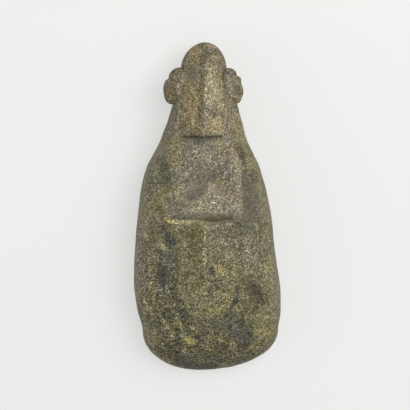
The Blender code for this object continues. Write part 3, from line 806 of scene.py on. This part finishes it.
def nose_relief(place, x):
    """The nose above the face: a ridge, steep on its left, cut off by a ledge."""
    across = x - nose_ridge(place)
    left = np.clip(-across / nose_left(place), 0.0, 1.0)
    right = np.clip(across / nose_right(place), 0.0, 1.0)
    steep = STEEP_SIDE / nose_left(place)
    left_fall = STEEP_SHARE * np.clip(left / steep, 0.0, 1.0)
    left_fall += (WING_SHARE - STEEP_SHARE) * np.clip((left - steep) / (WING_START - steep), 0.0, 1.0)
    left_fall += (1 - WING_SHARE) * rise(left, (WING_START, 1 - WING_START))
    fall = np.where(across < 0, left_fall, right**RIGHT_FULLNESS)
    grown = np.clip((place - NOSE_START) / (NOSE_END - NOSE_START), 0.0, 1.0) ** NOSE_GROWTH
    arch = NOSE_ARCH * (across / NOSE_RIGHT_WIDTH) ** 2
    past_ledge = (place - NOSE_END) * LENGTH - arch
    return NOSE_RISE * grown * (1 - fall) * (1 - step_at_zero(past_ledge, LEDGE_SLOPE))


def hollow_relief(place, x):
    """The eye hollows, and a small hollow outside the nose's left wing."""
    at_eyes = bell((place - SOCKET_PLACE) * LENGTH, SOCKET_LENGTH)
    middle = nose_ridge(SOCKET_PLACE)
    left = SOCKET_DEPTH_LEFT * bell(x - middle + SOCKET_OUT_LEFT, SOCKET_WIDTH)
    right = SOCKET_DEPTH_RIGHT * bell(x - middle - SOCKET_OUT_RIGHT, SOCKET_WIDTH)
    by_wing = bell((place - WING_HOLLOW_PLACE) * LENGTH, WING_HOLLOW_LENGTH)
    by_wing *= bell(x + WING_HOLLOW_OUT, WING_HOLLOW_WIDTH)
    return -at_eyes * (left + right) - WING_HOLLOW_DEPTH * by_wing


def long_hollows(place, x, width):
    """How deep the long hollows beside panel and tongue are here."""
    left = hollow_left_depth(place) * bell(x + hollow_left(place), width)
    return left + hollow_right_depth(place) * bell(x - hollow_right(place), width)


def panel_relief(place, x):
    """The panel and tongue stand proud, and a long hollow runs along each side."""
    before_end = np.clip((TONGUE_END - place) * LENGTH / TONGUE_ROUNDING, 0.0, 1.0)
    half_span = (panel_left(place) + panel_right(place)) / 2 * np.sqrt(before_end * (2 - before_end))
    middle = (panel_right(place) - panel_left(place)) / 2
    from_left = x - middle + half_span
    from_right = middle + half_span - x
    inside = step_at_zero(from_left, PANEL_EDGE) * step_at_zero(from_right, PANEL_EDGE)
    inside *= 1 - step_at_zero((place - TONGUE_END) * LENGTH, PANEL_EDGE)
    return panel_rise(place) * inside - long_hollows(place, x, HOLLOW_WIDTH) * (1 - inside)


def mouth_relief(place, x):
    """A groove: a long slope down from the panel, and a sharp lip on the far side."""
    smile = np.where(x < 0, MOUTH_SMILE_LEFT, MOUTH_SMILE_RIGHT) * (x / MOUTH_LEFT) ** 2
    past = (place - MOUTH_PLACE) * LENGTH + smile
    down = smooth_step(1 + past / MOUTH_SLOPE) ** 2
    up = 1 - smooth_step(past / MOUTH_LIP)
    ends = smooth_step((x + MOUTH_LEFT) / MOUTH_FADE) * smooth_step((MOUTH_RIGHT - x) / MOUTH_FADE)
    deeper = step_at_zero(x, MOUTH_CHANGE)
    depth = MOUTH_DEPTH_LEFT + (MOUTH_DEPTH_RIGHT - MOUTH_DEPTH_LEFT) * deeper
    return -depth * ends * down * up


def tongue_relief(place, x):
    """A low ridge, whose top is an edge, down the middle of the tongue."""
    reach = np.where(x < 0, TONGUE_RIDGE_LEFT, TONGUE_RIDGE_RIGHT)
    across = np.clip(1 - np.abs(x) / reach, 0.0, 1.0)
    fade = 1 - smooth_step((place - MOUTH_PLACE) / (TONGUE_RIDGE_END - MOUTH_PLACE))
    started = smooth_step((place - MOUTH_PLACE) * LENGTH / MOUTH_LIP)
    return TONGUE_RIDGE_RISE * across * fade * started


def half_section(place, across, is_front):
    """The points of the front or the back of one section, from edge to edge."""
    side = side_height(place)
    if is_front:
        square, reach = front_squareness(place), front_height(place) - side
    else:
        square, reach = back_squareness(place), back_height(place) - BACK_CROWN - side
    bulge = np.clip(1 - np.abs(across) ** square, 0.0, 1.0) ** (1 / square)
    rounding = thickness_rounding(place)
    x = half_width(place) * across
    z = side + reach * bulge * rounding
    if is_front:
        relief = nose_relief(place, x) + hollow_relief(place, x) + panel_relief(place, x)
        relief += mouth_relief(place, x) + tongue_relief(place, x)
        z = z + relief * smooth_step(bulge / RELIEF_FADE) * rounding
    y = np.full(len(x), (0.5 - place) * LENGTH)
    return np.stack([x + middle_x(place), y, z], axis=1)


def evenly(line, count):
    """The line cut into `count` equal steps, without its last point."""
    travelled = np.concatenate([[0.0], np.cumsum(np.linalg.norm(np.diff(line, axis=0), axis=1))])
    wanted = np.linspace(0.0, travelled[-1], count, endpoint=False)
    return np.stack([np.interp(wanted, travelled, column) for column in line.T], axis=1)


def section_places():
    """Where the sections are cut: evenly along the outline, and closer at the carving."""
    places = np.linspace(0.0, 1.0, OUTLINE_STEPS)
    steps = np.hypot(np.diff(places) * LENGTH, np.diff(half_width(places)))
    closer = 1 + CLOSER * bell((places[1:] - NOSE_END) * LENGTH, CLOSER_REACH)
    closer += CLOSER * bell((places[1:] - MOUTH_PLACE) * LENGTH, CLOSER_REACH)
    travelled = np.concatenate([[0.0], np.cumsum(steps * closer)])
    return np.interp(np.linspace(0.0, travelled[-1], SECTIONS + 1), travelled, places)


def body_mesh():
    """The stone without its ears: rings of points, closed at both ends."""
    over = np.cos(np.linspace(0.0, math.pi, SECTION_STEPS))
    rings = []
    for place in section_places()[1:-1]:
        front = evenly(half_section(place, over, True), FRONT_COLUMNS)
        back = evenly(half_section(place, -over, False), BACK_COLUMNS)
        rings += [front, back]
    ends = [half_section(place, np.zeros(1), True) for place in (0.0, 1.0)]
    points = np.concatenate(rings + ends)
    head, bit = len(points) - 2, len(points) - 1
    columns = FRONT_COLUMNS + BACK_COLUMNS
    last = head - columns
    faces = []
    for i in range(columns):
        j = (i + 1) % columns
        faces += [(head, j, i), (bit, last + i, last + j)]
        faces += [(k + i, k + j, k + columns + j, k + columns + i) for k in range(0, last, columns)]
    mesh = bpy.data.meshes.new("body")
    mesh.from_pydata(points * MM, [], faces)
    return mesh


def ear_points(sphere, side):
    """Pulls a unit sphere to an ear: an oval with a notched rim and a hollow in front."""
    out, along, above = sphere[:, 0] * side, sphere[:, 1], sphere[:, 2]
    turn = np.degrees(np.arctan2(along, out))
    notches = RIGHT_EAR_NOTCHES if side > 0 else LEFT_EAR_NOTCHES
    notch = sum(share * bell(turn - middle, EAR_NOTCH_SPREAD) for middle, share in notches)
    cut = EAR_NOTCH_DEPTH * notch * np.hypot(out, along)
    wide = out * (EAR_WIDTH / 2 - cut)
    tall = along * (EAR_HEIGHT / 2 - cut)
    hollow = bell(np.hypot(wide / EAR_HOLLOW_WIDTH, tall / EAR_HOLLOW_HEIGHT), 1.0)
    thick = above * (EAR_THICKNESS / 2 - cut)
    thick -= np.where(above > 0, EAR_HOLLOW_DEPTH * hollow, 0.0)
    splay, lean = math.radians(EAR_SPLAY), math.radians(EAR_LEAN)
    outward = wide * math.cos(splay) - tall * math.sin(splay)
    headward = tall * math.cos(splay) + wide * math.sin(splay)
    across = outward * math.cos(lean) + thick * math.sin(lean)
    up = thick * math.cos(lean) - outward * math.sin(lean)
    x = side * (half_width(EAR_PLACE) + EAR_OUT + across) + middle_x(EAR_PLACE)
    y = (0.5 - EAR_PLACE) * LENGTH + headward
    return np.stack([x, y, THICKNESS * EAR_LEVEL + up], axis=1)


def ear_mesh(side):
    shape = bmesh.new()
    bmesh.ops.create_uvsphere(shape, u_segments=EAR_COLUMNS, v_segments=EAR_RINGS, radius=1.0)
    mesh = bpy.data.meshes.new("ear")
    shape.to_mesh(mesh)
    shape.free()
    mesh.vertices.foreach_set("co", (ear_points(points_of(mesh), side) * MM).ravel())
    return mesh


def triples(source, field):
    found = np.empty(len(source) * 3)
    source.foreach_get(field, found)
    return found.reshape(-1, 3)


def points_of(mesh):
    return triples(mesh.vertices, "co")


def link(name, data):
    thing = bpy.data.objects.new(name, data)
    bpy.context.scene.collection.objects.link(thing)
    return thing


def fused_stone():
    """The body and both ears in one mesh."""
    body = link("body", body_mesh())
    ears = [link("ear", ear_mesh(side)) for side in (-1, 1)]
    for ear in ears:
        joined = body.modifiers.new("ear", "BOOLEAN")
        joined.operation = "UNION"
        joined.solver = "EXACT"
        joined.object = ear
    graph = bpy.context.evaluated_depsgraph_get()
    mesh = bpy.data.meshes.new_from_object(body.evaluated_get(graph))
    for thing in [body, *ears]:
        bpy.data.objects.remove(thing, do_unlink=True)
    return mesh


def noise_at(points, size, seed):
    """Smooth noise between -1 and 1, with lumps of about this size."""
    lattice = np.random.default_rng(seed).uniform(-1, 1, (LATTICE, LATTICE, LATTICE))
    spots = points / size
    corner = np.floor(spots).astype(int)
    share = smooth_step(spots - corner)
    total = np.zeros(len(points))
    for step in np.ndindex(2, 2, 2):
        weight = np.abs(1 - np.array(step) - share).prod(axis=1)
        x, y, z = (corner + step).T % LATTICE
        total += weight * lattice[x, y, z]
    return total


def layered_noise(points, layers):
    """The sum of noises, each given by its size, strength and seed."""
    return sum(strength * noise_at(points, size, seed) for size, strength, seed in layers)


def pits_at(points, seed):
    """How deep the pits are here: some cells of a lattice hold one pit each."""
    draws = np.random.default_rng(seed).random((4, LATTICE, LATTICE, LATTICE))
    spots = points / PIT_SPACING
    home = np.floor(spots).astype(int)
    depth = np.zeros(len(points))
    for step in np.ndindex(3, 3, 3):
        cell = home + np.array(step) - 1
        x, y, z = cell.T % LATTICE
        there = draws[:3, x, y, z].T
        chance = draws[3, x, y, z]
        reach = np.linalg.norm(cell + there - spots, axis=1) * PIT_SPACING / PIT_RADIUS
        found = np.maximum(0, 1 - reach * reach) * (0.5 + chance / PIT_SHARE)
        depth = np.maximum(depth, found * (chance < PIT_SHARE))
    return depth


def weather(mesh):
    """Moves the points in and out by the small unevenness of worked stone."""
    points = points_of(mesh) / MM
    normals = triples(mesh.vertex_normals, "vector")
    place = 0.5 - points[:, 1] / LENGTH
    on_ear = rise(np.abs(points[:, 0] - middle_x(place)) / half_width(EAR_PLACE), EAR_LUMPS_BAND)
    on_ear *= bell(place - EAR_PLACE, EAR_LUMPS_REACH)
    height = layered_noise(points, UNEVENNESS)
    height += on_ear * layered_noise(points, EAR_LUMPS)
    height -= PIT_DEPTH * pits_at(points, PIT_SEED)
    mesh.vertices.foreach_set("co", ((points + normals * height[:, None]) * MM).ravel())
    mesh.update()


def fit_to_box(mesh, low, high):
    """Stretches the mesh, by a little, to the box that the solid fills."""
    points = points_of(mesh)
    own_low, own_high = points.min(axis=0), points.max(axis=0)
    scale = np.subtract(high, low) / (own_high - own_low)
    mesh.vertices.foreach_set("co", ((points - own_low) * scale + np.array(low)).ravel())
    mesh.update()


def cut_flat(mesh):
    """Cuts the flat spot that the stone lies on, at height 0."""
    shape = bmesh.new()
    shape.from_mesh(mesh)
    everything = shape.verts[:] + shape.edges[:] + shape.faces[:]
    bmesh.ops.bisect_plane(
        shape, geom=everything, dist=1e-7, plane_co=(0, 0, 0), plane_no=(0, 0, -1), clear_outer=True
    )
    rim = [edge for edge in shape.edges if edge.is_boundary]
    bmesh.ops.contextual_create(shape, geom=rim)
    shape.to_mesh(mesh)
    shape.free()


def stroke_mask(points, path, half, ragged):
    """1 inside the stroke and 0 outside, with ragged edges."""
    away = np.full(len(points), np.inf)
    for start, end in zip(path, path[1:]):
        run = np.array(end, dtype=float) - start
        from_start = points[:, :2] - start
        along = np.clip(from_start @ run / (run @ run), 0.0, 1.0)
        away = np.minimum(away, np.linalg.norm(from_start - along[:, None] * run, axis=1))
    at_bevel = 0.5 - points[:, 1] / LENGTH > BEVEL_PLACE
    in_reach = (points[:, 2] > THICKNESS * STROKES_ABOVE) | at_bevel
    return smooth_step((STROKE_REACH - away / half) * STROKE_SHARPNESS + ragged) * in_reach


def tint_towards(tint, colour, share):
    """Moves the tint towards the colour, by the share at each point."""
    tint += (np.array(srgb(colour)[:3]) - tint) * share[:, None]


def part_colours(points):
    """The colours of the stone's parts, and where its front, edge, panel and bit are."""
    drift = layered_noise(points, DRIFT)
    place = 0.5 - points[:, 1] / LENGTH + DRIFT_ALONG * drift
    x = points[:, 0] - middle_x(place) + DRIFT_ACROSS * drift
    across = np.abs(x) / np.maximum(half_width(place), 1.0)
    front = rise(points[:, 2] / THICKNESS, FRONT_BAND)
    inside = step_at_zero(x + panel_left(place), PANEL_BLEND)
    inside *= step_at_zero(panel_right(place) - x, PANEL_BLEND)
    above_mouth = smooth_step((MOUTH_PLACE - place) / ABOVE_MOUTH_WIDTH)
    panel = inside * above_mouth
    hollow = long_hollows(place, x, HOLLOW_TINT_WIDTH)
    edge = rise(across, EDGE_BAND)
    past_bulb = rise(place, BULB_BAND)
    nose = (1 - rise(place, NOSE_BAND)) * past_bulb * bell(x - NOSE_TINT_X, NOSE_TINT_WIDTH)

    tint = np.tile(srgb(LOWER)[:3], (len(points), 1))
    for colour, share in (
        (TONGUE, inside * (1 - above_mouth) * (1 - rise(place, TONGUE_END_BAND))),
        (PANEL_TOP, panel * rise(place, BELOW_NOSE_BAND)),
        (PANEL_LOW, panel * rise(place, LOW_PANEL_BAND)),
        # Darker in the long hollows: partly painted shade
        (HOLLOW_STONE_AND_SHADE, np.minimum(hollow / HOLLOW_TINT_DEPTH, 1.0)),
        (RIM, np.maximum(edge, 1 - front)),
        (BIT, rise(place, BIT_BAND) * (1 - edge)),
        (HEAD, 1 - rise(place, HEAD_BAND)),
        (BULB, 1 - past_bulb),
        # The nose lighter, most right of its ridge: partly its own tan, partly painted light
        (NOSE_TAN_AND_LIGHT, nose),
        (EAR, rise(across, EAR_BAND) * (place < EARS_END)),
    ):
        tint_towards(tint, colour, share)
    return tint, front, edge, panel, place > LIVELY_BIT


def write_looks(mesh):
    """Stores the stone's colour, with its painted light and shade, and how lively its grain is, at each
    point.
    """
    points = points_of(mesh) / MM
    tint, front, edge, panel, in_bit = part_colours(points)
    for colour, layers in SIDE_STAINS:
        patches = smooth_step(SIDE_STAIN_SHARPNESS * layered_noise(points, layers))
        tint_towards(tint, colour, SIDE_STAIN_SHARE * patches * (1 - front) ** 2)
    ragged = [layered_noise(points, layers) for layers in RAGGED_EDGES]
    for number, (colour, strength, half, *path) in enumerate(STROKES):
        edges = ragged[number % len(ragged)]
        tint_towards(tint, colour, strength * stroke_mask(points, path, half, edges))
    tint *= (1 + layered_noise(points, CLOUDS))[:, None]
    tint *= 1 + layered_noise(points, HUE_CLOUDS)[:, None] * HUE_DRIFT
    lively = 1.0 - EDGE_CALM * edge - PANEL_CALM * panel
    for change, half, *path in LIVELY:
        lively += change * stroke_mask(points, path, half, ragged[0])
    lively = np.where((front > LIVELY_FRONT) | in_bit, lively, SIDE_LIVELINESS)
    light = tint.mean(axis=1, keepdims=True)
    for name, colours in (("tint", tint), ("grain_tint", tint**GRAIN_COLOUR * light ** (1 - GRAIN_COLOUR))):
        rgba = np.concatenate([colours, np.ones((len(tint), 1))], axis=1)
        mesh.attributes.new(name, "FLOAT_COLOR", "POINT").data.foreach_set("color", rgba.ravel())
    mesh.attributes.new("lively", "FLOAT", "POINT").data.foreach_set("value", lively)


def srgb(colour):
    """A colour as the eye sees it, made linear for the shader."""
    shares = [channel / 255 for channel in colour]
    linear = [s / 12.92 if s <= 0.04045 else ((s + 0.055) / 1.055) ** 2.4 for s in shares]
    return (*linear, 1.0)


class Shading:
    """A short way to build a material's nodes."""

    def __init__(self, name):
        self.material = bpy.data.materials.new(name)
        self.material.use_nodes = True
        self.tree = self.material.node_tree
        self.shader = self.tree.nodes["Principled BSDF"]

    def put(self, socket, value):
        if isinstance(value, bpy.types.NodeSocket):
            self.tree.links.new(value, socket)
        elif value is not None:
            socket.default_value = value

    def node(self, kind, inputs, output=0, **settings):
        made = self.tree.nodes.new(kind)
        for name, value in settings.items():
            setattr(made, name, value)
        for key, value in inputs.items():
            self.put(made.inputs[key], value)
        return made.outputs[output]

    def math(self, operation, first, second=0.0, third=None, clamp=False):
        inputs = {0: first, 1: second, 2: third}
        return self.node("ShaderNodeMath", inputs, operation=operation, use_clamp=clamp)

    def vector(self, operation, first, second=None, scale=None):
        inputs = {0: first, 1: second, 3: scale}
        return self.node("ShaderNodeVectorMath", inputs, operation=operation)

    def mix(self, share, first, second, blend="MIX"):
        inputs = {0: share, 6: first, 7: second}
        settings = {"data_type": "RGBA", "blend_type": blend, "clamp_factor": True}
        return self.node("ShaderNodeMix", inputs, output=2, **settings)

    def noise(self, where, size, roughness=0.5):
        inputs = {"Vector": where, "Scale": 1 / size, "Detail": 2.0, "Roughness": roughness}
        return self.node("ShaderNodeTexNoise", inputs)

    def stored(self, name, output):
        return self.node("ShaderNodeAttribute", {}, output=output, attribute_name=name)

    def specks(self, where, scale):
        """1 inside round specks that lie apart, 0 elsewhere."""
        inputs = {"Vector": where, "Scale": scale / SPECK_SPACING}
        nearest = self.node("ShaderNodeTexVoronoi", inputs).node
        split = self.node("ShaderNodeSeparateColor", {0: nearest.outputs[1]}).node
        chosen = self.math("LESS_THAN", split.outputs[2], SPECK_SHARE)
        reach = self.math("MULTIPLY", split.outputs[0], SPECK_RADIUS / SPECK_SPACING)
        inside = self.math("SUBTRACT", reach, nearest.outputs[0])
        inside = self.math("MULTIPLY", inside, SPECK_SPACING / SPECK_EDGE, clamp=True)
        return self.math("MULTIPLY", inside, chosen)

    def ramp(self, value, stops):
        made = self.tree.nodes.new("ShaderNodeValToRGB")
        self.put(made.inputs[0], value)
        while len(made.color_ramp.elements) < len(stops):
            made.color_ramp.elements.new(0.5)
        for element, (place, colour) in zip(made.color_ramp.elements, stops):
            element.position = place
            element.color = colour
        return made.outputs[0]

    def surface(self, values):
        for name, value in values.items():
            self.put(self.shader.inputs[name], value)
        return self.material


def stone_material():
    """A medium-grained greenstone: each grain is lighter or darker than the tint."""
    s = Shading("greenstone")
    where = s.node("ShaderNodeTexCoord", {}, output=3)
    where = s.vector("SCALE", where, scale=1 / MM)
    inputs = {"Vector": where, "Scale": BENDS_PER_MM, "Detail": 1.0}
    bend = s.node("ShaderNodeTexNoise", inputs, output=1)
    bent = s.vector("ADD", where, s.vector("SCALE", bend, scale=GRAIN_BEND))
    cells = s.node("ShaderNodeTexVoronoi", {"Vector": bent, "Scale": 1 / GRAIN_SIZE}, output=1)
    shade = s.node("ShaderNodeSeparateColor", {0: cells})
    fine = s.noise(where, FINE_SIZE, FINE_ROUGHNESS)
    cluster = s.noise(where, CLUSTER_SIZE)

    value = s.math("MULTIPLY_ADD", shade, CELL_SHARE, -CELL_SHARE / 2)
    value = s.math("MULTIPLY_ADD", fine, FINE_SHARE, value)
    value = s.math("MULTIPLY_ADD", cluster, CLUSTER_SHARE, value)
    grain = s.ramp(value, [(place, (step / MOST_GRAIN,) * 3 + (1.0,)) for place, step in GRAIN_STEPS])
    grain = s.math("MULTIPLY", grain, MOST_GRAIN)
    grain = s.math("MULTIPLY_ADD", s.specks(where, 1.0), LIGHT_SPECK, grain)
    dimmed = s.math("MULTIPLY_ADD", s.specks(where, DARK_SPECK_SCALE), -DARK_SPECK, 1.0)
    grain = s.math("MULTIPLY", grain, dimmed)
    grain = s.math("SUBTRACT", grain, 1.0)
    grain = s.math("MULTIPLY", grain, s.stored("lively", 2))
    grain = s.vector("SCALE", s.stored("grain_tint", 0), scale=grain)
    warmth = s.math("MULTIPLY_ADD", cluster, WARMTH_SLOPE, WARMTH_START, clamp=True)
    colour = s.mix(1.0, s.stored("tint", 0), s.mix(warmth, COOL, WARM), "MULTIPLY")
    colour = s.vector("MAXIMUM", s.vector("ADD", colour, grain), (DARKEST,) * 3)

    rough = s.math("MULTIPLY_ADD", fine, ROUGHNESS_SPREAD, SMOOTHEST)
    bump = s.math("MULTIPLY_ADD", shade, CELL_BUMP, fine)
    inputs = {"Strength": BUMP_STRENGTH, "Distance": BUMP_HEIGHT * MM, "Height": bump}
    normal = s.node("ShaderNodeBump", inputs)
    values = {"Base Color": colour, "Roughness": rough, "Specular IOR Level": SPECULAR, "Normal": normal}
    return s.surface(values)


def floor_material():
    values = {"Base Color": FLOOR_COLOUR, "Roughness": FLOOR_ROUGHNESS}
    values |= {"Emission Color": FLOOR_GLOW_COLOUR, "Emission Strength": FLOOR_GLOW}
    return Shading("pale_floor").surface(values)


def make_floor():
    corners = [(x * FLOOR_HALF, y * FLOOR_HALF, 0) for x, y in ((-1, -1), (1, -1), (1, 1), (-1, 1))]
    mesh = bpy.data.meshes.new("floor")
    mesh.from_pydata(corners, [], [(0, 1, 2, 3)])
    mesh.materials.append(floor_material())
    link("floor", mesh)


def make_camera():
    """Looks down on the stone at the photograph's angle, with its long lens."""
    lean = math.radians(LEAN)
    towards = Vector((0.0, math.sin(lean), math.cos(lean)))
    data = bpy.data.cameras.new("camera")
    data.sensor_width = SENSOR
    data.lens = SENSOR * DISTANCE / (PIXELS * PIXEL)
    data.shift_x = (PIXELS / 2 - AIM_PIXEL[0]) / PIXELS
    data.shift_y = (AIM_PIXEL[1] - PIXELS / 2) / PIXELS
    camera = link("camera", data)
    camera.location = (Vector(AIM) + towards * DISTANCE) * MM
    camera.rotation_euler.x = -lean
    bpy.context.scene.camera = camera


def make_light():
    for name, place, size, watts in LAMPS:
        data = bpy.data.lights.new(name, "AREA")
        data.size, data.energy = size, watts
        lamp = link(name, data)
        lamp.location = place
        lamp.rotation_euler = Vector(place).to_track_quat("Z", "Y").to_euler()
    world = bpy.data.worlds.new("studio")
    world.use_nodes = True
    background = world.node_tree.nodes["Background"]
    background.inputs["Color"].default_value = (1.0, 1.0, 1.0, 1.0)
    background.inputs["Strength"].default_value = ROOM_LIGHT
    bpy.context.scene.world = world
    bpy.context.scene.view_settings.view_transform = "Standard"


def make_stone():
    low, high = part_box("adze_head")
    mesh = fused_stone()
    weather(mesh)
    cut_flat(mesh)
    fit_to_box(mesh, low, high)
    write_looks(mesh)
    mesh.name = "carved_stone"
    mesh.shade_smooth()
    mesh.materials.append(stone_material())
    stone = link("carved_stone", mesh)
    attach(stone, "root")
    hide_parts("adze_head")


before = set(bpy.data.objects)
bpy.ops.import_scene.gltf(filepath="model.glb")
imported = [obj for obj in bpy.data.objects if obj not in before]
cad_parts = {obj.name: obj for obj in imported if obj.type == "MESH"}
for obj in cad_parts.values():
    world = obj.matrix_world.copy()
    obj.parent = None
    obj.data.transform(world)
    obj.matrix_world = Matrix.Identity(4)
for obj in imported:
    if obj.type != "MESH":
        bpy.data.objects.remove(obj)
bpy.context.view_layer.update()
make_stone()
make_floor()
make_camera()
make_light()
